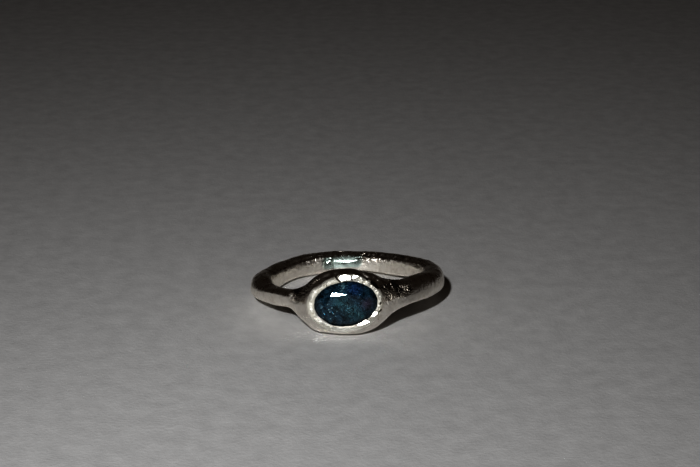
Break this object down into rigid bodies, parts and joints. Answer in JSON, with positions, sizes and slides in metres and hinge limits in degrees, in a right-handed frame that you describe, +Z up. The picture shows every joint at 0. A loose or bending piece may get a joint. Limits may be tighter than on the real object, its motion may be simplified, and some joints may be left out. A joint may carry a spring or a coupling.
{
  "type": "tourmaline ring",
  "caption": "Finger ring lying on its side: an irregular round silver band that widens into a head with a bezel round a faceted oval blue-green stone.",
  "frame": {"origin": "on the surface that the ring lies on, below the middle of its bounding box", "axes": "+Z up, +X to the right as the stone is seen, -Y the way that the stone faces"},
  "size_m": [0.0218, 0.0222, 0.0072],
  "materials": {
    "silver": "sterling silver, cast, hammered and polished, with a fine pitted grain on the shoulders",
    "stone": "polished blue-green tourmaline, clear but very dark"
  },
  "bodies": {
    "root": {"silver_ring": "silver", "tourmaline": "stone"}
  },
  "joints": []
}
